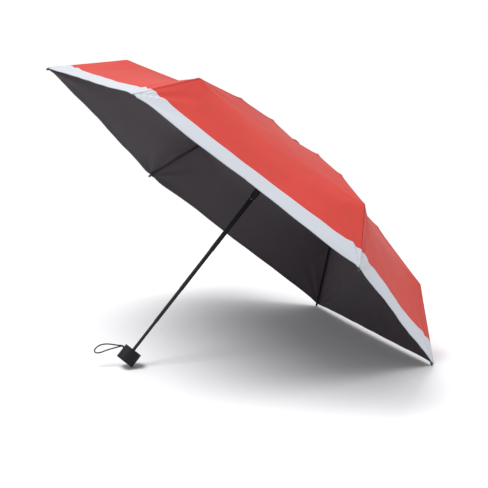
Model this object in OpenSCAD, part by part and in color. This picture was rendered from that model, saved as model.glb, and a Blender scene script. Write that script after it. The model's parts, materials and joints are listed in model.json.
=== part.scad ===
// Folding umbrella with six ribs of four links each, a five-section
// telescoping shaft, a sliding runner with stretchers, a drum handle and a
// wrist cord.  Millimetres.  +Z runs up the shaft, the origin is the centre of
// the handle's end face, and rib 1 points along +X.
//
// In every rib's own plane the links lie side by side, each in its own lane,
// so that they fold flat beside one another like a folding rule.

/* [Handle] */
// Radius of the handle drum
handle_r = 17; // [14:0.5:22]
// Height of the handle drum
handle_h = 27; // [25:0.5:40]
// Height of the cord's pivot above the end face
cord_z = 20; // [18:0.5:21]

/* [Wrist cord] */
// Length of the cord loop from its pivot
cord_length = 52; // [40:1:90]
// Radius of the round end of the loop
cord_bend_r = 8; // [5:0.5:12]
// Thickness of the cord
cord_d = 2; // [1.5:0.1:3]
// How far the resting loop droops below level
cord_droop = 46; // [30:1:60]

/* [Shaft] */
// Outer radius of the thinnest tube
tube_r = 2.9; // [2.7:0.05:3]
// Wall of each tube
tube_wall = 0.4; // [0.3:0.05:0.4]
// Gap between one tube and the next
tube_gap = 0.05; // [0.03:0.01:0.08]
// Height of the shaft's top end when open
shaft_top = 503.5; // [480:0.5:520]
// Travel of each sliding tube past the one below it
tube_travel = [72, 74, 89, 103]; // [60:1:110]
// Length by which each open tube still overlaps the one below it
tube_overlap = [16, 13, 13, 12]; // [10:1:20]

/* [Ribs] */
// Length of the four links of a rib, from the crown outwards
link_length = [91.6, 114, 127, 143]; // [80:0.1:150]
// Slope of the four links below level when open
link_slope = [6.6, 11.4, 15.8, 43.5]; // [3:0.1:50]
// Radius of the circle that the rib pivots sit on
pivot_r = 9; // [8.5:0.1:9.5]
// Height of the rib pivots when open
crown_z = 499; // [490:0.5:500]
// Width of a link, across the rib's plane
link_w = 1.4; // [1:0.1:1.4]
// Depth of a link, in the rib's plane
link_h = 3; // [2.4:0.1:3.2]
// Distance between neighbouring lanes
lane_pitch = 1.6; // [1.6:0.05:1.7]
// Radius of the rivets
rivet_r = 0.8; // [0.6:0.05:0.9]

/* [Runner and stretchers] */
// Height of the runner's lower rim when open
runner_z = 372; // [370:0.5:380]
// Height of the stretcher pivots when open
runner_pivot_z = 405; // [400:0.5:410]
// Distance from the crown pivot to the stretcher's pivot on the rib
stretcher_reach = 22; // [18:0.5:26]

/* [Canopy] */
// Height of the fabric above the rivets
fabric_lift = 3.8; // [3.6:0.1:5]
// Thickness of a fabric panel
fabric_t = 0.5; // [0.3:0.1:0.8]
// How far the hem curves in towards the crown at mid-panel
hem_curve = 5; // [0:0.5:14]
// How far a panel sags inwards at mid-panel
fabric_sag = 3; // [0:0.5:6]

/* [Hidden] */
$fn = 48;
RIBS = [1, 2, 3, 4, 5, 6];
function named(stem) = [for (i = RIBS) str(stem, i)];

c = 0.05;                      // running clearance on a radius
eps = 0.01;
rib_step = 360 / len(RIBS);

// shaft: the thinnest tube stands on the inner floor of the handle
floor_z = 6;
function outer_r(k) = tube_r + (k - 1) * (tube_wall + tube_gap);
shaft_r = outer_r(5);
tube_foot_closed = 18;
function sum_to(list, n) = n <= 0 ? 0 : list[n - 1] + sum_to(list, n - 1);
function tube_foot(k) = k == 1 ? floor_z : tube_foot_closed + sum_to(tube_travel, k - 1);
function tube_head(k) = k == 5 ? shaft_top : tube_foot(k + 1) + tube_overlap[k - 1];

// handle: the end cap's spigot stands in a recess, the screw holds the plug in the thinnest tube
end_cap_h = 3;
spigot_inset = 2;
spigot_w = 1.5;
well_floor_z = 10;
well_r = 7.75;
chamfer = 0.6;
screw_r = 1.2;
screw_head_r = 4.5;
screw_head_z = 3.6;
screw_length = 12;
plug_h = 16;

// cord anchor: two cheeks with a pin between them
anchor_w = 6;
anchor_h = 4.6;
anchor_depth = 3;
anchor_gap = 2.2;
anchor_pivot_r = handle_r + 2.1;
cheek_r = 1.8;

// runner catch: a leaf in the wall of the top tube
catch_azimuth = 270;
catch_foot_z = 364.8;
catch_length = 6;
catch_w = 1.4;
catch_t = 0.32;
catch_lean = 7;
catch_r = shaft_r - tube_wall / 2;

// notched wheels of the crown and the runner
crown_r = 12;
crown_h = 4.6;
runner_r = 11.5;
runner_h = 7;
notch_floor_r = 6.9;
pin_half = 2.1;
sleeve_r = 6.2;
rim_r = 6.6;
rim_h = 2.2;

// lanes, in the order stretcher, inner, second, third, outer
function lane(n) = (n - 2.5) * lane_pitch;
eye_r = 1.9;
flute_inset = 4;
rail_inset = 25;
rail_w = 1.2;
rail_h = 2.2;
tip_r = 2.2;
tip_length = 9;
tip_grip = 6;

// rivets of one rib as [radius, height]: pivot(0) at the crown to pivot(4) at the tip
function pivot(n) = n == 0 ? [pivot_r, crown_z]
    : pivot(n - 1) + link_length[n - 1] * [cos(link_slope[n - 1]), -sin(link_slope[n - 1])];
function along_inner(d) = pivot(0) + d * [cos(link_slope[0]), -sin(link_slope[0])];
stretcher_low = [pivot_r, runner_pivot_z];
stretcher_high = along_inner(stretcher_reach);

// fabric line above a rib as [radius, height]
function slope_normal(s) = [sin(s), cos(s)];
function lifted(n) = pivot(n) + fabric_lift *
    (n == 0 || n == 4 ? slope_normal(link_slope[min(n, 3)])
        : slope_normal((link_slope[n - 1] + link_slope[n]) / 2));
fabric_hole_r = 5.6;
fabric_top = [fabric_hole_r, lifted(0).y + 1.2];
cap_r = 8;
cap_z = fabric_top.y + 0.3;
cap_edge = 0.8;
cap_dome = 1.4;
cap_stem = 10;
steps_per_link = 3;
function mix(a, b, t) = a + (b - a) * t;
fabric_line = concat([fabric_top],
    [for (n = [0 : 3], k = [0 : steps_per_link - 1]) mix(lifted(n), lifted(n + 1), k / steps_per_link)],
    [lifted(4)]);

module at_rib(i) rotate([0, 0, rib_step * (i - 1)]) children();

// a round bar or hole across the rib's plane, from lane position y0 to y1
module cross_rod(p, r, y0, y1)
    translate([p.x, y1, p.y]) rotate([90, 0, 0]) cylinder(r = r, h = y1 - y0);

// ---- handle ----

module handle_body() color([0.16, 0.15, 0.16]) difference() {
    recess_r = handle_r - spigot_inset;
    rotate_extrude($fn = 96) polygon([
        [0, floor_z], [recess_r, floor_z], [recess_r, end_cap_h + 0.1], [handle_r, end_cap_h + 0.1],
        [handle_r, handle_h - chamfer], [handle_r - chamfer, handle_h],
        [well_r, handle_h], [well_r, well_floor_z], [0, well_floor_z]]);
    translate([0, 0, floor_z - 1]) cylinder(r = tube_r + c, h = 10);
    translate([-handle_r - 1, -anchor_w / 2 - c, cord_z - anchor_h / 2 - c])
        cube([1 + anchor_depth + c, anchor_w + 2 * c, anchor_h + 2 * c]);
}

module handle_end_cap() color([0.15, 0.14, 0.15]) {
    spigot_r = handle_r - spigot_inset - 2 * c;
    rotate_extrude($fn = 96) polygon([
        [0, 0], [handle_r - chamfer, 0], [handle_r, chamfer], [handle_r, end_cap_h],
        [spigot_r, end_cap_h], [spigot_r, floor_z - 0.5], [spigot_r - spigot_w, floor_z - 0.5],
        [spigot_r - spigot_w, end_cap_h], [0, end_cap_h]]);
}

module handle_screw() color("silver") {
    translate([0, 0, screw_head_z]) cylinder(r = screw_head_r, h = floor_z - 2 * c - screw_head_z);
    translate([0, 0, floor_z - 4 * c]) cylinder(r = screw_r, h = screw_length);
}

module shaft_plug() color("silver") difference() {
    translate([0, 0, floor_z]) cylinder(r = tube_r - tube_wall - c / 2, h = plug_h);
    translate([0, 0, floor_z - 1]) cylinder(r = screw_r + c / 2, h = screw_length + 2);
}

// ---- wrist cord ----

module cord_anchor() color([0.12, 0.12, 0.13]) {
    translate([-handle_r + 0.2, -anchor_w / 2, cord_z - anchor_h / 2])
        cube([anchor_depth - 0.2, anchor_w, anchor_h]);
    for (y = [-anchor_w / 2, anchor_gap / 2])
        translate([0, y, 0]) anchor_cheek((anchor_w - anchor_gap) / 2);
    cross_rod([-anchor_pivot_r, cord_z], rivet_r, -anchor_w / 2, anchor_w / 2);
}

module anchor_cheek(w) {
    translate([-anchor_pivot_r, 0, cord_z - cheek_r]) cube([4, w, 2 * cheek_r]);
    cross_rod([-anchor_pivot_r, cord_z], cheek_r, 0, w);
}

module wrist_cord() color([0.1, 0.1, 0.11])
    translate([-anchor_pivot_r, 0, cord_z]) rotate([0, -cord_droop, 0]) mirror([1, 0, 0]) {
        bend_x = cord_length - cord_bend_r;
        half_angle = asin(cord_bend_r / bend_x);
        run = sqrt(bend_x * bend_x - cord_bend_r * cord_bend_r);
        difference() {
            union() {
                rotate([90, 0, 0]) cylinder(r = cheek_r, h = anchor_gap - 0.2, center = true);
                for (side = [-1, 1]) rotate([0, side * half_angle, 0]) rotate([0, 90, 0]) {
                    cylinder(d = cord_d, h = run);
                    translate([0, 0, run]) sphere(d = 1.04 * cord_d);
                }
            }
            rotate([90, 0, 0]) cylinder(r = rivet_r + c, h = 5, center = true);
        }
        translate([bend_x, 0, 0]) rotate([90, 0, 0]) rotate([0, 0, -90 - half_angle])
            rotate_extrude(angle = 180 + 2 * half_angle) translate([cord_bend_r, 0]) circle(d = cord_d);
    }

// ---- shaft ----

module shaft_tube(k) color([0.08, 0.08, 0.09]) difference() {
    translate([0, 0, tube_foot(k)]) cylinder(r = outer_r(k), h = tube_head(k) - tube_foot(k));
    translate([0, 0, tube_foot(k) - 1])
        cylinder(r = outer_r(k) - tube_wall, h = tube_head(k) - tube_foot(k) + 2);
    if (k == 5) rotate([0, 0, catch_azimuth])
        translate([shaft_r - 1, -catch_w / 2 - 0.1, catch_foot_z - 0.8])
            cube([2, catch_w + 0.2, catch_length + 1.6]);
}

module runner_catch() color("silver") rotate([0, 0, catch_azimuth])
    translate([catch_r, 0, catch_foot_z]) rotate([0, catch_lean, 0])
        translate([-catch_t / 2, -catch_w / 2, -0.4]) cube([catch_t, catch_w, catch_length + 0.4]);

// ---- crown and runner ----

// a notched wheel on the shaft, with its pins p at mid-height: one slot and one cross hole per rib
module notched_wheel(p, r, h, lane_y) difference() {
    foot = p.y - h / 2;
    translate([0, 0, foot]) cylinder(r = r, h = h);
    translate([0, 0, foot - 1]) cylinder(r = shaft_r + c, h = h + 2);
    for (i = RIBS) at_rib(i) {
        translate([notch_floor_r, lane_y - lane_pitch / 2, foot - 1]) cube([r, lane_pitch, h + 2]);
        cross_rod(p, rivet_r + c, lane_y - pin_half - c, lane_y + pin_half + c);
    }
}

module wheel_pins(p, lane_y) for (i = RIBS) at_rib(i)
    cross_rod(p, rivet_r, lane_y - pin_half, lane_y + pin_half);

module crown_body() color([0.1, 0.1, 0.11]) notched_wheel(pivot(0), crown_r, crown_h, lane(1));

module crown_pins() color("silver") wheel_pins(pivot(0), lane(1));

// low domed cap over the fabric, with a stem in the top of the shaft
module crown_cap() color([0.1, 0.1, 0.11]) {
    rotate_extrude($fn = 64) polygon(concat([[0, cap_z], [cap_r, cap_z]],
        [for (a = [0 : 15 : 90]) [cap_r * cos(a), cap_z + cap_edge + cap_dome * sin(a)]]));
    translate([0, 0, cap_z - cap_stem]) cylinder(r = shaft_r - tube_wall - c, h = cap_stem + eps);
}

// wheel and sleeve in one piece, with a groove inside that clears the catch
module runner_body() color([0.1, 0.1, 0.11]) difference() {
    union() {
        notched_wheel(stretcher_low, runner_r, runner_h, lane(0));
        tube_between(runner_z, runner_pivot_z - runner_h / 2 + 1, sleeve_r);
        tube_between(runner_z, runner_z + rim_h, rim_r);
    }
    rotate([0, 0, catch_azimuth]) translate([0, -catch_w / 2 - 0.3, runner_z - 1])
        cube([5.6, catch_w + 0.6, 60]);
}

module tube_between(z0, z1, r) difference() {
    translate([0, 0, z0]) cylinder(r = r, h = z1 - z0);
    translate([0, 0, z0 - 1]) cylinder(r = shaft_r + c, h = z1 - z0 + 2);
}

module runner_pins() color("silver") wheel_pins(stretcher_low, lane(0));

// ---- ribs and stretchers ----

// one fluted link between two rivets, with an eye at each end
module link(from, to, n, eye_at_end = true, extra_eye = 0) {
    span = norm(to - from);
    tilt = atan2(from.y - to.y, to.x - from.x);
    translate([from.x, lane(n), from.y]) rotate([0, tilt, 0]) difference() {
        union() {
            translate([0, -link_w / 2, -link_h / 2]) cube([span, link_w, link_h]);
            for (x = eye_at_end ? [0, span] : [0]) cross_disc(x, eye_r);
        }
        translate([flute_inset, -link_w / 4, -link_h / 2 - eps])
            cube([span - 2 * flute_inset, link_w / 2, link_h / 2]);
        for (x = eye_at_end ? [0, span] : [0]) cross_hole(x);
        if (extra_eye > 0) cross_hole(extra_eye);
    }
}

module cross_disc(x, r) translate([x, 0, 0]) rotate([90, 0, 0]) cylinder(r = r, h = link_w, center = true);
module cross_hole(x) translate([x, 0, 0]) rotate([90, 0, 0])
    cylinder(r = rivet_r + c, h = 2 * link_w, center = true);

// the rivet that joins the link in lane n to the link in lane m
module rivet(p, n, m) cross_rod(p, rivet_r, lane(n) - link_w / 2, lane(m) + link_w / 2);

module stretcher(i) color([0.09, 0.09, 0.1]) at_rib(i) {
    link(stretcher_low, stretcher_high, 0);
    rivet(stretcher_high, 0, 0);
}

module rib_inner(i) color([0.09, 0.09, 0.1]) at_rib(i) {
    link(pivot(0), pivot(1), 1, extra_eye = stretcher_reach);
    rivet(pivot(1), 1, 2);
}

module rib_second(i) color([0.09, 0.09, 0.1]) at_rib(i) {
    link(pivot(1), pivot(2), 2);
    rivet(pivot(2), 2, 3);
}

module rib_third(i) color([0.09, 0.09, 0.1]) at_rib(i) {
    link(pivot(2), pivot(3), 3);
    rivet(pivot(3), 3, 4);
}

// the outer link is thickened by a rail on its free side
module rib_outer(i) color([0.09, 0.09, 0.1]) at_rib(i) {
    link(pivot(3), pivot(4), 4, eye_at_end = false);
    translate([pivot(3).x, lane(4), pivot(3).y]) rotate([0, link_slope[3], 0])
        translate([rail_inset, link_w / 2 - 0.1, -link_h / 2])
            cube([link_length[3] - rail_inset - tip_grip - 0.5, rail_w + 0.1, rail_h]);
}

// moulded cap over the free end of the outer link
module rib_tip(i) color([0.12, 0.12, 0.12]) at_rib(i)
    translate([pivot(3).x, lane(4), pivot(3).y]) rotate([0, link_slope[3], 0]) difference() {
        translate([link_length[3] - tip_grip, 0, 0]) rotate([0, 90, 0]) cylinder(r = tip_r, h = tip_length);
        translate([link_length[3] - tip_grip - 1, -link_w / 2 - c, -link_h / 2 - c])
            cube([tip_grip + 1 + c, link_w + 2 * c, link_h + 2 * c]);
    }

// ---- canopy ----

// A point of the panel between rib 1 and rib 2: p is a point of the fabric line,
// u runs from 0 at rib 1 to 1 at rib 2, and d is the depth below the top face.
// Panels are straight from rib to rib, sag a little at the middle, and their hem
// curves in towards the crown.
function fabric_point(p, u, d) =
    let (reach = norm(p - fabric_top) / norm(lifted(4) - fabric_top),
         mid = 4 * u * (1 - u),
         pull = hem_curve * mid * pow(reach, 6) * [-cos(link_slope[3]), sin(link_slope[3])],
         q = p + pull - [0, fabric_sag * mid * reach * (1 - pow(reach, 4)) * 2],
         gap = 0.15 / max(q.x, 1),
         s = gap + u * (1 - 2 * gap),
         a = [q.x, 0], b = q.x * [cos(rib_step), sin(rib_step)], m = mix(a, b, s))
    [m.x, m.y, q.y - d];

fabric_u = [for (k = [0 : 6]) k / 6];

module canopy_panel(i) color([0.85, 0.28, 0.24]) at_rib(i) {
    nu = len(fabric_u);
    np = len(fabric_line);
    layer = nu * np;
    points = [for (d = [0, fabric_t], p = fabric_line, u = fabric_u) fabric_point(p, u, d)];
    top = [for (j = [0 : np - 2], k = [0 : nu - 2]) let (a = j * nu + k)
        each [[a, a + 1, a + nu + 1], [a, a + nu + 1, a + nu]]];
    under = [for (f = top) [f[2] + layer, f[1] + layer, f[0] + layer]];
    rim = concat([for (k = [0 : nu - 1]) k],
        [for (j = [1 : np - 1]) j * nu + nu - 1],
        [for (k = [nu - 2 : -1 : 0]) (np - 1) * nu + k],
        [for (j = [np - 2 : -1 : 1]) j * nu]);
    side = [for (k = [0 : len(rim) - 1]) let (a = rim[k], b = rim[(k + 1) % len(rim)])
        each [[b, a, a + layer], [b, a + layer, b + layer]]];
    polyhedron(points = points, faces = concat(top, under, side));
}

// ---- the parts ----

handle_body();
handle_end_cap();
handle_screw();
cord_anchor();
wrist_cord();
shaft_plug();
runner_catch();
runner_body();
runner_pins();
crown_body();
crown_pins();
crown_cap();
for (k = [1 : 5]) shaft_tube(k);
for (i = RIBS) {
    stretcher(i);
    rib_inner(i);
    rib_second(i);
    rib_third(i);
    rib_outer(i);
    rib_tip(i);
    canopy_panel(i);
}
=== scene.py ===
import json
import math

import bpy
import numpy as np
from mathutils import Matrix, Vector

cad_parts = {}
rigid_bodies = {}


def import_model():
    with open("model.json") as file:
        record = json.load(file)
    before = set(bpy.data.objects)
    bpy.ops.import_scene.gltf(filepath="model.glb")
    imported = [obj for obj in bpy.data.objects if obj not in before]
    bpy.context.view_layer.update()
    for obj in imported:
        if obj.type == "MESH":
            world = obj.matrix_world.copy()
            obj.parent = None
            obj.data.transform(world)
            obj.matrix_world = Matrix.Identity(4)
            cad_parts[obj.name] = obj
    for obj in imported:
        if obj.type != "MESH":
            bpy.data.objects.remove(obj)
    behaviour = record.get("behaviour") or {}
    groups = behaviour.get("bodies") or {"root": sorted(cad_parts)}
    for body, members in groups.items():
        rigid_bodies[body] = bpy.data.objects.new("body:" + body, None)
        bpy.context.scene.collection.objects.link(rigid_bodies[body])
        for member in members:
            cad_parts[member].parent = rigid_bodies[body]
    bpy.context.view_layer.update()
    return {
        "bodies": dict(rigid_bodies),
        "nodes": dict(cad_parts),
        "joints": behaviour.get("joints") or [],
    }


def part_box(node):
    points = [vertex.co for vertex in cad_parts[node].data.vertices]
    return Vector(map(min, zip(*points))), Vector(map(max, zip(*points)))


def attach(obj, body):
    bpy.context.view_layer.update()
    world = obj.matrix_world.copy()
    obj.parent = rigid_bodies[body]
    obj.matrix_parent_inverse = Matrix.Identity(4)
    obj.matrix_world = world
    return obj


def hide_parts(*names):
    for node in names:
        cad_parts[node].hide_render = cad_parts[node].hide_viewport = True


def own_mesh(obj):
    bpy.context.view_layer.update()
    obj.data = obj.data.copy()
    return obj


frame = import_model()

# ---------------------------------------------------------------------------
# Sizes, in metres and radians
# ---------------------------------------------------------------------------

MM = 0.001
RIBS = 6
RIB_STEP = math.radians(360 / RIBS)
LINKS = ("inner", "second", "third", "outer")

FABRIC_LIFT = 3.8 * MM          # fabric above the rivets
FABRIC_T = 0.4 * MM             # cloth thickness
CROWN_RISE = 1.2 * MM           # rise of the cloth from the innermost rivets to the crown
TIP_RISE = 0.5 * MM             # the cloth's tip above the lowest point of the CAD panel
HEM_T = 1.5 * MM                # thickness of the rolled hem
HEM_WIDTH = 5 * MM
HEM_CURVE = 5 * MM              # how far the hem curves in at mid-gore
BAND_WIDTH = 40 * MM            # white border, measured along a rib
SAG = 4 * MM                    # inward sag of a gore
BEND_AT_RIB = 5 * MM            # softness of a fold line at the rib
BEND_AT_MID = 52 * MM           # softness of the same fold line at mid-gore
TAUT = 7 * MM                   # this close to a rib a fold line stays as sharp as at the rib
SOFTENING = 2.5                 # how soon it softens from there to mid-gore, as a power
PLEAT = 0.055                   # height of the pleats at a tip, as a share of the distance from it
PLEAT_REACH = 52 * MM           # they die out over this distance
KINK_FOLD = 1.4 * MM            # height of the folds at the outer kink of a rib
KINK_FOLD_REACH = 60 * MM
TENT = 2.0 * MM                 # lift of the fabric over a rib joint
TENT_REACH = 9 * MM
SLOW_SWELL = 1.3 * MM           # broad unevenness of the stretched cloth
DRAWN_SWELL = 0.5 * MM          # finer, slanted unevenness
HOLE_R = 5.6 * MM               # hole at the crown

# ---------------------------------------------------------------------------
# What the frame says
# ---------------------------------------------------------------------------

joints = {j["name"]: j for j in frame["joints"]}


def fold_joint(rib, link):
    """The joint that carries a link of a rib. Rib 1's inner one is the master."""
    return "canopy_fold" if (rib, link) == (1, 0) else f"rib_{rib}_{LINKS[link]}_fold"


def link_body(rib, link):
    return f"rib_{rib}_{LINKS[link]}"


def rib_plane(point):
    """A point in a rib's own plane as (radius, height)."""
    return np.array([math.hypot(point[0], point[1]), point[2]])


def unit(v):
    return v / np.linalg.norm(v)


panel_low, panel_high = (np.array(c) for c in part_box("canopy_panel_1"))
rivets = [rib_plane(joints[fold_joint(1, n)]["pos_m"]) for n in range(4)]
fabric_tip = np.array([panel_high[0], panel_low[2] + TIP_RISE])
tip_lift = 0.7 * FABRIC_LIFT * np.array([1, 1])     # at the tip the lift leans out by 45 degrees
directions = [unit(rivets[n + 1] - rivets[n]) for n in range(3)]
directions.append(unit(fabric_tip - tip_lift - rivets[3]))


def up_normal(direction):
    return np.array([-direction[1], direction[0]])


def lifted(n):
    """The fabric point above rivet n."""
    before, after = directions[max(n - 1, 0)], directions[n]
    return rivets[n] + FABRIC_LIFT * up_normal(unit(before + after))


kinks = [lifted(n) for n in range(4)]
fabric_top = np.array([HOLE_R, kinks[0][1] + CROWN_RISE])
line = [fabric_top] + kinks + [fabric_tip]
line_slope = [(b[1] - a[1]) / (b[0] - a[0]) for a, b in zip(line, line[1:])]
outer_angle = math.atan(-line_slope[-1])
K1_R, K2_R, K3_R = kinks[3][0], kinks[2][0], kinks[1][0]
TIP_R = fabric_tip[0]
BAND_R = TIP_R - BAND_WIDTH * math.cos(outer_angle)

# ---------------------------------------------------------------------------
# The cloth as one formula: rho runs along a rib, u from 0 at a rib to 1 at
# the next one, and every chord between two ribs is straight before it sags
# ---------------------------------------------------------------------------


def soft_step(t, w):
    return (t + np.sqrt(t * t + w * w)) / 2


def profile(rho, w):
    """Height of the fabric line, with its kinks rounded over a width w."""
    z = fabric_top[1] + line_slope[0] * (rho - line[0][0])
    for k, corner in enumerate(line[1:-1]):
        turn = line_slope[k + 1] - line_slope[k]
        start = soft_step(line[0][0] - corner[0], np.minimum(w, corner[0] / 2))
        z = z + turn * (soft_step(rho - corner[0], np.minimum(w, corner[0] / 2)) - start)
    return z


def ease(t):
    t = np.clip(t, 0, 1)
    return t * t * (3 - 2 * t)


def tip_folds(gore, rho, u):
    """Pleats that fan out from both tips of a gore, from a point just beyond each tip."""
    beyond, flat_angle = 2 * MM, 0.3
    lift = 0
    for side, w in ((0, u), (1, 1 - u)):
        across = rho * w
        along = TIP_R - rho + beyond
        angle = np.arctan2(across, along)
        distance = np.hypot(across, along)
        phase = 1.7 * gore + 2.3 * side
        shape = np.sin(9 * angle + phase) + 0.6 * np.sin(15 * angle - 1.3 * phase)
        fade = np.exp(-(distance / PLEAT_REACH) ** 2) * ease(angle / flat_angle)
        lift = lift + PLEAT * distance * shape * fade
    return lift


def kink_folds(gore, rho, u):
    """Shallow folds that fan out from the outer kink of each rib, flat near the kink and the rib."""
    flat_r, flat_side = 30 * MM, 25 * MM
    lift = 0
    for side, w in ((0, u), (1, 1 - u)):
        across = rho * w
        along = rho - K1_R
        angle = np.arctan2(along, across)
        distance = np.hypot(across, along)
        phase = 0.9 * gore + 1.1 * side
        shape = np.sin(7 * angle + phase)
        fade = np.exp(-distance / KINK_FOLD_REACH) * ease(distance / flat_r) * ease(across / flat_side)
        lift = lift + KINK_FOLD * shape * fade
    return lift


def joint_tents(rho, u):
    """The fabric stands up a little over each joint of a rib."""
    lift = 0
    for w in (u, 1 - u):
        across = rho * w
        for corner in kinks[1:]:
            distance = np.hypot(across, rho - corner[0])
            lift = lift + TENT * np.exp(-distance / TENT_REACH)
    return lift


def swell(gore, rho, u):
    """Slow unevenness of the stretched cloth, none at the ribs."""
    edge = np.sin(math.pi * u)
    slow = np.sin(11 * u + 2.1 * gore) * np.sin(rho / 0.047 + gore)
    drawn = np.sin(24 * u + 90 * rho + 1.3 * gore) * np.sin(17 * u - 40 * rho)
    return edge * (SLOW_SWELL * slow + DRAWN_SWELL * drawn) * (rho / TIP_R)


def cloth(gore, rho, u):
    """Points of the outer face, in a frame where rib 1 of the gore is +X."""
    mid = 4 * u * (1 - u)
    off_rib = rho * np.minimum(u, 1 - u)
    free = np.clip((off_rib - TAUT) / np.maximum(rho / 2 - TAUT, TAUT), 0, 1)
    w = BEND_AT_RIB + (BEND_AT_MID - BEND_AT_RIB) * (1 - (1 - free) ** SOFTENING)
    reach = (rho - HOLE_R) / (TIP_R - HOLE_R)
    pull = HEM_CURVE * mid * reach ** 6
    r = rho - pull * math.cos(outer_angle)
    z = profile(rho, w) + pull * math.sin(outer_angle)
    z = z - 2 * SAG * mid * reach * (1 - reach ** 4)
    z = z + tip_folds(gore, rho, u) + kink_folds(gore, rho, u) + swell(gore, rho, u)
    z = z + joint_tents(rho, u)
    x = r * (1 - u) + r * u * math.cos(RIB_STEP)
    y = r * u * math.sin(RIB_STEP)
    return np.stack([x, y, z], -1)


def turned(points, angle):
    c, s = math.cos(angle), math.sin(angle)
    return points @ np.array([[c, s, 0], [-s, c, 0], [0, 0, 1]])


def cloth_and_normal(gore, rho, u):
    d_rho, d_u = 0.4 * MM, 0.002
    lo, hi = np.maximum(u - d_u, 0), np.minimum(u + d_u, 1)
    p = cloth(gore, rho, u)
    a = cloth(gore, rho + d_rho, u) - cloth(gore, rho - d_rho, u)
    b = cloth(gore, rho, hi) - cloth(gore, rho, lo)
    n = np.cross(a, b)
    n /= np.linalg.norm(n, axis=-1, keepdims=True)
    angle = RIB_STEP * gore
    return turned(p, angle), turned(n, angle)


# ---------------------------------------------------------------------------
# Mesh helpers
# ---------------------------------------------------------------------------


def add_object(name, verts, faces, materials, face_material=None, smooth=True):
    mesh = bpy.data.meshes.new(name)
    mesh.from_pydata([tuple(v) for v in verts], [], [tuple(f) for f in faces])
    for m in materials:
        mesh.materials.append(m)
    if face_material is not None:
        mesh.polygons.foreach_set("material_index", face_material)
    mesh.polygons.foreach_set("use_smooth", [smooth] * len(mesh.polygons))
    mesh.update()
    obj = bpy.data.objects.new(name, mesh)
    bpy.context.scene.collection.objects.link(obj)
    return obj


def add_attribute(obj, name, vectors):
    """Gives each vertex a vector that a material reads by name."""
    attribute = obj.data.attributes.new(name, "FLOAT_VECTOR", "POINT")
    attribute.data.foreach_set("vector", np.array(vectors).ravel())


def ring_faces(count, sides):
    """Quads between rings of a tube: ring k holds vertices k * sides onwards."""
    faces = []
    for k in range(count - 1):
        for s in range(sides):
            a, b = k * sides + s, k * sides + (s + 1) % sides
            faces.append((a, b, b + sides, a + sides))
    return faces


def smooth_open(points, rounds):
    """Corner cutting: rounds an open line and keeps its ends."""
    p = np.array(points)
    for _ in range(rounds):
        a, b = p[:-1], p[1:]
        cut = np.stack([0.75 * a + 0.25 * b, 0.25 * a + 0.75 * b], 1).reshape(-1, 3)
        p = np.concatenate([p[:1], cut, p[-1:]])
    return p


def tube(name, path, radius, material, sides):
    """A capped tube along a path that lies close to the XZ plane."""
    side_axis = np.array([0.0, 1.0, 0.0])
    tangents = np.gradient(path, axis=0)
    verts = []
    for p, t in zip(path, tangents):
        n = unit(np.cross(t, side_axis))
        for k in range(sides):
            a = 2 * math.pi * k / sides
            verts.append(p + radius * (math.cos(a) * n + math.sin(a) * side_axis))
    faces = ring_faces(len(path), sides)
    faces.append(tuple(range(sides - 1, -1, -1)))
    last = (len(path) - 1) * sides
    faces.append(tuple(range(last, last + sides)))
    return add_object(name, verts, faces, [material])


# ---------------------------------------------------------------------------
# Materials
# ---------------------------------------------------------------------------


class Shader:
    """A small wrapper that keeps node set-ups short to write."""

    def __init__(self, name):
        self.material = bpy.data.materials.new(name)
        self.material.use_nodes = True
        self.tree = self.material.node_tree
        self.bsdf = self.tree.nodes["Principled BSDF"]

    def node(self, kind, **values):
        n = self.tree.nodes.new(kind)
        for key, value in values.items():
            if key in n.inputs:
                n.inputs[key].default_value = value
            else:
                setattr(n, key, value)
        return n

    def link(self, a, b):
        self.tree.links.new(a, b)

    def math(self, operation, a, b=None):
        n = self.tree.nodes.new("ShaderNodeMath")
        n.operation = operation
        for socket, value in zip(n.inputs, (a, b)):
            if value is None:
                continue
            if isinstance(value, (int, float)):
                socket.default_value = value
            else:
                self.link(value, socket)
        return n.outputs[0]

    def noise(self, vector, scale, detail, roughness=0.5):
        n = self.node("ShaderNodeTexNoise", Scale=scale, Detail=detail, Roughness=roughness)
        self.link(vector, n.inputs["Vector"])
        return n.outputs["Fac"]

    def ramp(self, value, stops):
        n = self.tree.nodes.new("ShaderNodeValToRGB")
        while len(n.color_ramp.elements) < len(stops):
            n.color_ramp.elements.new(0.5)
        for e, (place, colour) in zip(n.color_ramp.elements, stops):
            e.position, e.color = place, (*colour, 1)
        self.link(value, n.inputs[0])
        return n.outputs[0]

    def bump(self, height, strength, distance):
        n = self.node("ShaderNodeBump", Strength=strength, Distance=distance)
        self.link(height, n.inputs["Height"])
        return n.outputs["Normal"]

    def split(self, vector):
        n = self.tree.nodes.new("ShaderNodeSeparateXYZ")
        self.link(vector, n.inputs[0])
        return n.outputs

    def object_vector(self):
        return self.tree.nodes.new("ShaderNodeTexCoord").outputs["Object"]

    def attribute(self, name):
        return self.node("ShaderNodeAttribute", attribute_name=name).outputs["Vector"]

    def set(self, **values):
        """Sets inputs of the surface to plain values."""
        for key, value in values.items():
            self.bsdf.inputs[key.replace("_", " ")].default_value = value

    def drive(self, **sources):
        """Links inputs of the surface to other nodes."""
        for key, source in sources.items():
            self.link(source, self.bsdf.inputs[key.replace("_", " ")])


# linear colours
RED = (0.415, 0.038, 0.029)
# a darker red for the groove of the rib seams: painted shade
RED_GROOVE_SHADE = (0.24, 0.016, 0.012)
RED_PLASTIC = (0.40, 0.030, 0.022)
WHITE = (0.39, 0.41, 0.45)
CHARCOAL = (0.047, 0.036, 0.044)
BLACK_PAINT = (0.008, 0.007, 0.008)
BLACK_HANDLE = (0.010, 0.008, 0.010)
BLACK_HUB = (0.016, 0.015, 0.017)
BLACK_CORD = (0.012, 0.011, 0.012)
STEEL = (0.62, 0.61, 0.60)

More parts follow.
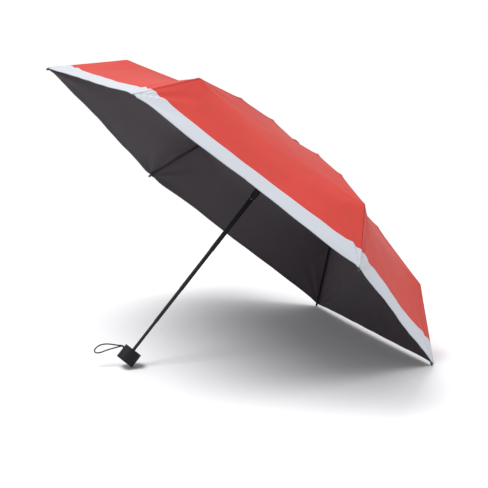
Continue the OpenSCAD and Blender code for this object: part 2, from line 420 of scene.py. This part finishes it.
THREAD = 1.1 * MM               # the weave repeats over this
STITCH_PITCH = 3.2 * MM
STITCH_HALF = 0.45 * MM         # half the width of the row of stitches
BRAID_PITCH = 2.4 * MM
CATCH_HIGHLIGHT = 1.5 * MM           # height of the bright top of the catch, a painted highlight; under it the catch is painted nearly black


def shade(colour, factor):
    return tuple(min(c * factor, 1) for c in colour)


def woven(name, colour, sheen, roughness, contrast=0.10, specular=0.25):
    """Plain-weave cloth. Its threads follow the cloth attribute: metres across, along and to the hem."""
    s = Shader(name)
    across, along, to_hem = s.split(s.attribute("cloth"))
    warp = s.math("SINE", s.math("MULTIPLY", across, 2 * math.pi / THREAD))
    weft = s.math("SINE", s.math("MULTIPLY", along, 2 * math.pi / THREAD))
    weave = s.math("MULTIPLY", warp, weft)
    broad = s.noise(s.object_vector(), 9.0, 3.0)
    fine = s.noise(s.object_vector(), 260.0, 2.0)
    tone = s.math("ADD", s.math("MULTIPLY", broad, 0.75), s.math("MULTIPLY", fine, 0.25))
    base = s.ramp(tone, [(0.25, shade(colour, 1 - contrast)), (0.75, shade(colour, 1 + contrast))])
    # a row of stitches along the hem, as short raised dashes
    wave = s.math("SINE", s.math("MULTIPLY", across, 2 * math.pi / STITCH_PITCH))
    dash = s.math("GREATER_THAN", wave, -0.2)
    row = s.math("LESS_THAN", s.math("ABSOLUTE", s.math("SUBTRACT", to_hem, HEM_WIDTH)), STITCH_HALF)
    stitch = s.math("MULTIPLY", dash, row)
    height = s.math("ADD", s.math("MULTIPLY", weave, 0.12), s.math("MULTIPLY", stitch, 0.8))
    height = s.math("ADD", height, s.math("MULTIPLY", fine, 0.25))
    rough = s.math("ADD", s.math("MULTIPLY", fine, 0.12), roughness)
    s.drive(Base_Color=base, Roughness=rough, Normal=s.bump(height, 0.35, 0.3 * MM))
    s.set(Sheen_Weight=sheen, Sheen_Roughness=0.45, Specular_IOR_Level=specular)
    return s.material


def enamel(name, colour, roughness, streak, coat, specular):
    """Painted metal with a faint drawn grain and small variations of gloss."""
    s = Shader(name)
    where = s.object_vector()
    mottled = s.noise(where, 120.0, 4.0)
    stretch = s.node("ShaderNodeMapping")
    stretch.inputs["Scale"].default_value = (900, 900, 12)
    s.link(where, stretch.inputs["Vector"])
    grain = s.noise(stretch.outputs[0], 1.0, 2.0)
    base = s.ramp(mottled, [(0.3, shade(colour, 0.8)), (0.7, shade(colour, 1.25))])
    rough = s.math("ADD", s.math("MULTIPLY", mottled, 0.12), roughness)
    s.drive(Base_Color=base, Roughness=rough, Normal=s.bump(grain, streak, 0.05 * MM))
    s.set(Coat_Weight=coat, Coat_Roughness=0.12, Specular_IOR_Level=specular)
    return s.material


def moulded(name, colour, roughness, specular=0.4):
    """Moulded plastic with a fine spark-eroded texture."""
    s = Shader(name)
    where = s.object_vector()
    spots = s.noise(where, 1400.0, 3.0, 0.6)
    wear = s.noise(where, 55.0, 4.0)
    base = s.ramp(wear, [(0.3, shade(colour, 0.85)), (0.75, shade(colour, 1.2))])
    rough = s.math("ADD", s.math("MULTIPLY", wear, 0.15), roughness)
    s.drive(Base_Color=base, Roughness=rough, Normal=s.bump(spots, 0.15, 0.05 * MM))
    s.set(Specular_IOR_Level=specular)
    return s.material


def steel(name, highlight_from=None):
    """Bare steel. highlight_from gives a height under which it is painted nearly black, leaving a painted
    highlight above it.
    """
    s = Shader(name)
    where = s.object_vector()
    scratches = s.noise(where, 700.0, 4.0)
    base = s.ramp(scratches, [(0.3, shade(STEEL, 0.8)), (0.7, shade(STEEL, 1.1))])
    # painted highlight: the steel stays bright only above the height, and under it it is painted nearly
    # black
    if highlight_from is not None:
        height = s.split(where)[2]
        highlight_mask = s.math("GREATER_THAN", height, highlight_from)
        highlight_tint = s.ramp(highlight_mask, [(0, (0.03, 0.03, 0.03)), (1, (1, 1, 1))])
        mix = s.node("ShaderNodeMix", data_type="RGBA", blend_type="MULTIPLY")
        mix.inputs["Factor"].default_value = 1.0
        s.link(base, mix.inputs["A"])
        s.link(highlight_tint, mix.inputs["B"])
        base = mix.outputs["Result"]
    s.drive(Base_Color=base, Roughness=s.math("ADD", s.math("MULTIPLY", scratches, 0.2), 0.2))
    s.set(Metallic=1.0)
    return s.material


def braided(name, colour):
    """Braided cord: two crossing helices of strands, from the cord attribute: turn, metres along."""
    s = Shader(name)
    turn, along, _ = s.split(s.attribute("cord"))
    lead = s.math("MULTIPLY", along, 2 * math.pi / BRAID_PITCH)
    left = s.math("SINE", s.math("ADD", s.math("MULTIPLY", turn, 3), lead))
    right = s.math("SINE", s.math("SUBTRACT", s.math("MULTIPLY", turn, 3), lead))
    strands = s.math("MAXIMUM", left, right)
    # the colour follows the strands' height: painted shade in the gaps between strands and a painted
    # highlight on their crests
    base = s.ramp(strands, [(0.0, shade(colour, 0.4)), (0.8, shade(colour, 1.4))])
    s.drive(Base_Color=base, Normal=s.bump(strands, 0.8, 0.25 * MM))
    s.set(Roughness=0.8, Specular_IOR_Level=0.2)
    return s.material


red_cloth = woven("red_cloth", RED, 0.05, 0.66, specular=0.15)
white_cloth = woven("white_cloth", WHITE, 0.15, 0.66, contrast=0.04)
lining_cloth = woven("lining_cloth", CHARCOAL, 0.06, 0.58, contrast=0.12)
seam_groove = woven("seam_groove", RED_GROOVE_SHADE, 0.0, 0.8)
shaft_paint = enamel("shaft_paint", BLACK_PAINT, 0.34, streak=0.04, coat=0.15, specular=0.25)
rib_paint = enamel("rib_paint", BLACK_PAINT, 0.38, streak=0.08, coat=0.12, specular=0.3)
handle_plastic = moulded("handle_plastic", BLACK_HANDLE, 0.5, specular=0.2)
cap_plastic = moulded("cap_plastic", RED_PLASTIC, 0.5)
hub_plastic = moulded("hub_plastic", BLACK_HUB, 0.38)
bare_steel = steel("bare_steel")
# the catch is painted nearly black, with a small painted highlight at its top
catch_steel = steel("catch_steel", highlight_from=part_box("runner_catch")[1][2] - CATCH_HIGHLIGHT)
cord_weave = braided("cord_weave", BLACK_CORD)

# ---------------------------------------------------------------------------
# The canopy: each half gore is cut where the links meet, so that every piece
# rides its own link and gathers in to the rib as the umbrella folds
# ---------------------------------------------------------------------------

COLUMNS = 26
CROWDING = 1.5                  # columns stand closer together near a rib
ROW = 7 * MM                    # longest row of the mesh in the red cloth
BAND_ROW = 4 * MM               # and in the white border
RED_FACE, WHITE_FACE, LINING_FACE = 0, 1, 2     # material numbers of a patch


def cut_at(radius):
    """The line across a half gore where the rib-plane distance is a radius."""
    return lambda v: radius / (1 - v / 4)


def outer_cut(v):
    """The line across the steep facet that starts at the outer kink, square to the outer link."""
    c, s = math.cos(outer_angle), math.sin(outer_angle)
    steep = -line_slope[-1]
    return K1_R * (c + steep * s) / (c * (1 - v / 4) + steep * s)


def fixed(radius):
    return lambda v: radius + 0 * v


def between(a, b, share):
    return lambda v: a(v) * (1 - share) + b(v) * share


# name, first line, last line, link that carries it
PATCHES = (
    ("inner", fixed(HOLE_R), cut_at(K3_R), 0),
    ("second", cut_at(K3_R), cut_at(K2_R), 1),
    ("third", cut_at(K2_R), fixed(K1_R), 2),
    ("elbow_a", fixed(K1_R), between(fixed(K1_R), outer_cut, 0.5), 3),
    ("elbow_b", between(fixed(K1_R), outer_cut, 0.5), outer_cut, 3),
    ("outer", outer_cut, fixed(TIP_R), 3),
)


def row_lines(first, last):
    """Row positions between two lines, as functions of v, with a row exactly on the border."""
    widest = max(last(0.0) - first(0.0), last(1.0) - first(1.0))
    if last(0.5) < BAND_R:
        count = max(3, math.ceil(widest / ROW))
        return [between(first, last, k / count) for k in range(count + 1)], count + 1
    border = fixed(BAND_R)
    red_rows = max(3, math.ceil((BAND_R - first(0.0)) / ROW))
    band_rows = math.ceil(BAND_WIDTH / BAND_ROW)
    lines = [between(first, border, k / red_rows) for k in range(red_rows)]
    lines += [between(border, last, k / band_rows) for k in range(band_rows)]
    hem = HEM_WIDTH * math.cos(outer_angle)
    lines[-1] = fixed(TIP_R - hem)          # the rolled hem starts on a row of its own
    lines += [fixed(TIP_R - 0.3 * hem), last]
    return lines, red_rows


class Faces:
    """Faces with a material number each, and a shading normal for each of their corners."""

    def __init__(self):
        self.corners, self.materials, self.normals = [], [], []

    def add(self, corners, material, normals):
        """Adds a face without its repeated corners, unless fewer than three are left."""
        kept = {}
        for c, n in zip(corners, normals):
            kept.setdefault(c, n)
        if len(kept) > 2:
            self.corners.append(list(kept))
            self.materials.append(material)
            self.normals.extend(kept.values())


def patch_faces(index, mirrored, band_from, normals):
    """The outer face of a patch, the lining behind it, and the rim that joins the two."""
    rows, columns = index.shape
    layer = rows * columns
    faces = Faces()
    for k in range(rows - 1):
        material = WHITE_FACE if k >= band_from else RED_FACE
        for j in range(columns - 1):
            quad = [index[k, j], index[k + 1, j], index[k + 1, j + 1], index[k, j + 1]]
            if mirrored:
                quad.reverse()
            faces.add(quad, material, [normals[c] for c in quad])
            back = [quad[c] + layer for c in (0, 3, 2, 1)]      # the same diagonal as outside
            faces.add(back, LINING_FACE, [-normals[c - layer] for c in back])
    rim = ([(0, j) for j in range(columns)] + [(k, columns - 1) for k in range(1, rows)]
           + [(rows - 1, j) for j in range(columns - 2, -1, -1)] + [(k, 0) for k in range(rows - 2, 0, -1)])
    for (ka, ja), (kb, jb) in zip(rim, rim[1:] + rim[:1]):
        a, b = index[ka, ja], index[kb, jb]
        quad = [a, b, b + layer, a + layer]
        if mirrored:
            quad.reverse()
        material = WHITE_FACE if min(ka, kb) >= band_from else RED_FACE
        faces.add(quad, material, [np.zeros(3)] * 4)            # zero leaves the normal to Blender
    return faces


def canopy_patch(gore, side, patch):
    """A closed piece of lined cloth, from the rib on one side of a gore to the middle of the gore."""
    name, first, last, link = patch
    lines, band_from = row_lines(first, last)
    v = np.linspace(0, 1, COLUMNS + 1) ** CROWDING
    rho = np.array([line_at(v) for line_at in lines])
    u = np.broadcast_to(v / 2 if side == 0 else 1 - v / 2, rho.shape)
    outside, normal = cloth_and_normal(gore, rho, u)
    to_hem = (TIP_R - rho) / math.cos(outer_angle)
    rolled = to_hem < HEM_WIDTH * 1.01      # a trace over, to take in the row at the hem's own width
    inside = outside - np.where(rolled, HEM_T, FABRIC_T)[..., None] * normal
    threads = np.stack([rho * u, rho, to_hem], -1)

    # a fan patch starts in a point, where its rows share one vertex
    pointed = abs(first(0.0) - last(0.0)) < 1e-9
    index = np.arange(rho.size).reshape(rho.shape)
    if pointed:
        index[:, 0] = index[0, 0]
    faces = patch_faces(index, side == 1, band_from, normal.reshape(-1, 3))

    verts = np.concatenate([outside.reshape(-1, 3), inside.reshape(-1, 3)])
    used = sorted({c for corners in faces.corners for c in corners})
    new_index = {old: new for new, old in enumerate(used)}
    rib = (gore + side) % RIBS + 1
    obj = add_object(f"canopy_{name}_{gore + 1}{'ab'[side]}", verts[used],
                     [[new_index[c] for c in corners] for corners in faces.corners],
                     [red_cloth, white_cloth, lining_cloth], faces.materials)
    add_attribute(obj, "cloth", np.concatenate([threads.reshape(-1, 3)] * 2)[used])
    obj.data.normals_split_custom_set(faces.normals)
    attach(obj, link_body(rib, link))
    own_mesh(obj)
    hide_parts(f"canopy_panel_{gore + 1}")


for gore in range(RIBS):
    for side in (0, 1):
        for patch in PATCHES:
            canopy_patch(gore, side, patch)

# ---------------------------------------------------------------------------
# Seams along the ribs
# ---------------------------------------------------------------------------

SEAM_HALF = 2.4 * MM            # half its width
SEAM_H = 0.7 * MM
SEAM_STEP = 5 * MM
# outline of the seam's section, as shares of its half width and of its height
SEAM_PROFILE = (
    (-1.0, -0.1), (-0.8, 0.5), (-0.25, 1.0), (0.0, 0.3), (0.25, 1.0), (0.8, 0.5), (1.0, -0.1), (0.0, -0.1))
SEAM_SHADED_SIDES = (2, 3)            # sides of the outline that lie in the stitched groove, coloured darker red as painted shade
GROOVE_SHADE_FACE = 2                 # material number of the groove's painted shade, after those of the red and white cloth


def seam_strip(rib, link):
    """The sewn seam over one link: a low double ridge that follows both gores."""
    ends = [HOLE_R] + [k[0] for k in kinks[1:]] + [TIP_R]
    start, end = ends[link], ends[link + 1]
    stops = np.linspace(start, end, max(4, int((end - start) / SEAM_STEP)))
    if link == 3:
        stops = np.sort(np.append(stops, BAND_R))
    verts = []
    for rho in stops:
        for across, height in SEAM_PROFILE:
            share = abs(across) * SEAM_HALF / rho
            gore, u = (rib - 1, share) if across >= 0 else ((rib - 2) % RIBS, 1 - share)
            p, n = cloth_and_normal(gore, np.array([rho]), np.array([u]))
            verts.append(p[0] + SEAM_H * height * n[0])
    count = len(SEAM_PROFILE)
    faces, face_materials = [], []
    for k in range(len(stops) - 1):
        material = WHITE_FACE if stops[k] >= BAND_R - 1e-6 else RED_FACE
        for j in range(count):
            a, b = k * count + j, k * count + (j + 1) % count
            faces.append((a, a + count, b + count, b))
            # where the seam is red, the groove's faces take the darker red as painted shade
            painted_shade = j in SEAM_SHADED_SIDES and material == RED_FACE
            face_materials.append(GROOVE_SHADE_FACE if painted_shade else material)
    faces.append(tuple(range(count)))
    last = (len(stops) - 1) * count
    faces.append(tuple(range(last + count - 1, last - 1, -1)))
    face_materials += [RED_FACE, WHITE_FACE if link == 3 else RED_FACE]
    obj = add_object(
        f"seam_{LINKS[link]}_{rib}", verts, faces, [red_cloth, white_cloth, seam_groove], face_materials)
    far_from_hem = 1.0              # so that the material draws no stitches here
    add_attribute(obj, "cloth", [(0.0, rho, far_from_hem) for rho in stops for _ in range(count)])
    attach(obj, link_body(rib, link))


for rib in range(1, RIBS + 1):
    for link in range(len(LINKS)):
        seam_strip(rib, link)

# ---------------------------------------------------------------------------
# CAD nodes: better materials
# ---------------------------------------------------------------------------

# a material, and how the names of the nodes that have it start
NODE_MATERIALS = (
    (shaft_paint, ("shaft_tube",)),
    (rib_paint, ("rib_inner", "rib_second", "rib_third", "rib_outer", "stretcher")),
    (hub_plastic, ("rib_tip", "crown_body", "runner_body", "cord_anchor")),
    (cap_plastic, ("crown_cap",)),
    (handle_plastic, ("handle_body", "handle_end_cap")),
    (bare_steel, ("handle_screw", "shaft_plug", "crown_pins", "runner_pins")),
    (catch_steel, ("runner_catch",)),
)

for node, obj in frame["nodes"].items():
    for material, starts in NODE_MATERIALS:
        if node.startswith(starts):
            obj.data.materials.clear()
            obj.data.materials.append(material)

# ---------------------------------------------------------------------------
# Wrist cord
# ---------------------------------------------------------------------------

CORD_R = 1.15 * MM
CORD_SIDES = 12
CORD_SWAY = 0.3 * MM            # how far the loop strays from one plane
# the loop, in mm across and up from its pivot
CORD_OUTLINE = ((-1, 1), (-8, -4), (-21, -11), (-30, -18), (-36, -28), (-36, -37), (-31, -39),
                (-25, -34), (-18, -22), (-9, -10), (-2, -1))


def make_cord():
    """A loop that leaves its pivot, arches and droops at its end, close to the pivot's own plane."""
    pivot = np.array(joints["cord_swing"]["pos_m"])
    loop = [pivot + [MM * x, CORD_SWAY * math.sin(k), MM * z] for k, (x, z) in enumerate(CORD_OUTLINE)]
    path = smooth_open(loop, rounds=3)
    cord = tube("wrist_cord_loop", path, CORD_R, cord_weave, CORD_SIDES)
    lengths = np.concatenate([[0], np.cumsum(np.linalg.norm(np.diff(path, axis=0), axis=1))])
    turns = [2 * math.pi * k / CORD_SIDES for k in range(CORD_SIDES)]
    add_attribute(cord, "cord", [(turn, length, 0) for length in lengths for turn in turns])
    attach(cord, "cord")
    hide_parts("wrist_cord")


make_cord()

# ---------------------------------------------------------------------------
# Floor, light and camera
# ---------------------------------------------------------------------------


FLOOR_HALF = 4.0                # half the floor's side
FADE_START, FADE_END = 0.75, 1.5    # the floor fades out between these distances from its middle
FLOOR_MIDDLE = (0.15, 0.09, 0.16)   # its middle, from the handle's rim, before it moves onto the plane
TIP_FOOT = 5 * MM               # a rib tip stands on the floor this far below the end of the cloth
TIP_REACH = 0.5 * MM            # and this far beyond it

# the camera fitted to the photograph, in metres in the frame, with its lens in mm
CAMERA_PLACE = Vector((0.1608, -2.4845, 0.0234))
CAMERA_RIGHT = Vector((0.7918, -0.0288, 0.6101))
CAMERA_UP = Vector((-0.6089, -0.1164, 0.7847))
LENS = 102.4
SENSOR_WIDTH = 36.0

LIT_POINT = Vector((0.0, 0.0, 0.35))    # on the shaft, under the canopy


def resting_plane():
    """The floor that the open umbrella leans on: tips of ribs 1 and 2 and the handle's rim between them."""
    tip_r, tip_z = TIP_R + TIP_REACH, fabric_tip[1] - TIP_FOOT
    tips = [np.array([tip_r * math.cos(a), tip_r * math.sin(a), tip_z]) for a in (0, RIB_STEP)]
    half = RIB_STEP / 2
    handle_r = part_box("handle_body")[1][0]
    rim = np.array([handle_r * math.cos(half), handle_r * math.sin(half), 0])
    normal = unit(np.cross(tips[0] - rim, tips[1] - rim))
    return Vector(rim), Vector(normal if normal[2] > 0 else -normal)


def floor_material():
    """Pale and matt, clear from below and fading out with distance."""
    s = Shader("floor")
    s.set(Base_Color=(0.84, 0.84, 0.85, 1), Roughness=0.9, Specular_IOR_Level=0.1)
    clear = s.tree.nodes.new("ShaderNodeBsdfTransparent")
    mix = s.tree.nodes.new("ShaderNodeMixShader")
    geometry = s.tree.nodes.new("ShaderNodeNewGeometry")
    distance = s.node("ShaderNodeVectorMath", operation="LENGTH")
    s.link(s.object_vector(), distance.inputs[0])
    fade = s.node("ShaderNodeMapRange")
    fade.inputs["From Min"].default_value = FADE_START
    fade.inputs["From Max"].default_value = FADE_END
    s.link(distance.outputs["Value"], fade.inputs["Value"])
    s.link(s.math("MAXIMUM", fade.outputs[0], geometry.outputs["Backfacing"]), mix.inputs[0])
    s.link(s.bsdf.outputs[0], mix.inputs[1])
    s.link(clear.outputs[0], mix.inputs[2])
    s.link(mix.outputs[0], s.tree.nodes["Material Output"].inputs["Surface"])
    return s.material


def make_floor(point, normal):
    """A pale floor that follows the canopy, so that the tips stay on it as the shaft shortens."""
    corners = [(x * FLOOR_HALF, y * FLOOR_HALF, 0) for x, y in ((-1, -1), (1, -1), (1, 1), (-1, 1))]
    floor = add_object("floor", corners, [(0, 1, 2, 3)], [floor_material()], smooth=False)
    floor.rotation_euler = normal.to_track_quat("Z", "Y").to_euler()
    floor.location = point + Vector(FLOOR_MIDDLE)
    floor.location -= (floor.location - point).dot(normal) * normal
    floor.parent = frame["bodies"]["tube_5"]


def make_world(backdrop, fill):
    """A white backdrop for the camera and a softer, dimmer sky for the light."""
    world = bpy.data.worlds.new("studio")
    bpy.context.scene.world = world
    world.use_nodes = True
    tree = world.node_tree
    background = tree.nodes["Background"]
    rays = tree.nodes.new("ShaderNodeLightPath")
    mix = tree.nodes.new("ShaderNodeMix")
    mix.data_type = "RGBA"
    mix.inputs["A"].default_value = (*fill, 1)
    mix.inputs["B"].default_value = (*backdrop, 1)
    tree.links.new(rays.outputs["Is Camera Ray"], mix.inputs["Factor"])
    tree.links.new(mix.outputs["Result"], background.inputs["Color"])


def area_light(name, direction, distance, size, energy):
    data = bpy.data.lights.new(name, "AREA")
    data.energy, data.size, data.shape = energy, size, "DISK"
    obj = bpy.data.objects.new(name, data)
    bpy.context.scene.collection.objects.link(obj)
    obj.location = LIT_POINT + distance * direction.normalized()
    obj.rotation_euler = (LIT_POINT - obj.location).to_track_quat("-Z", "Y").to_euler()


def make_lights(up, camera_back):
    """A key light above, a little to the camera's left, and a weaker, lower one on its right."""
    back = (camera_back - up * camera_back.dot(up)).normalized()
    right = up.cross(back)
    area_light("key", up * 1.0 - right * 0.45 + back * 0.25, distance=2.4, size=1.3, energy=58)
    area_light("rim", up * 0.5 + right * 1.0 + back * 0.2, distance=2.6, size=1.4, energy=28)


def make_camera():
    """Makes the camera, and returns the direction that points back from it."""
    data = bpy.data.cameras.new("camera")
    data.lens, data.sensor_width = LENS, SENSOR_WIDTH
    obj = bpy.data.objects.new("camera", data)
    bpy.context.scene.collection.objects.link(obj)
    back = CAMERA_RIGHT.cross(CAMERA_UP).normalized()
    up = back.cross(CAMERA_RIGHT).normalized()
    right = up.cross(back)
    basis = obj.matrix_world.copy()
    for row in range(3):
        basis[row] = (right[row], up[row], back[row], CAMERA_PLACE[row])
    obj.matrix_world = basis
    bpy.context.scene.camera = obj
    return back


floor_point, floor_up = resting_plane()
make_floor(floor_point, floor_up)
make_world(backdrop=(1.0, 1.0, 1.0), fill=(0.74, 0.742, 0.75))
make_lights(floor_up, make_camera())
bpy.context.scene.view_settings.view_transform = "Standard"
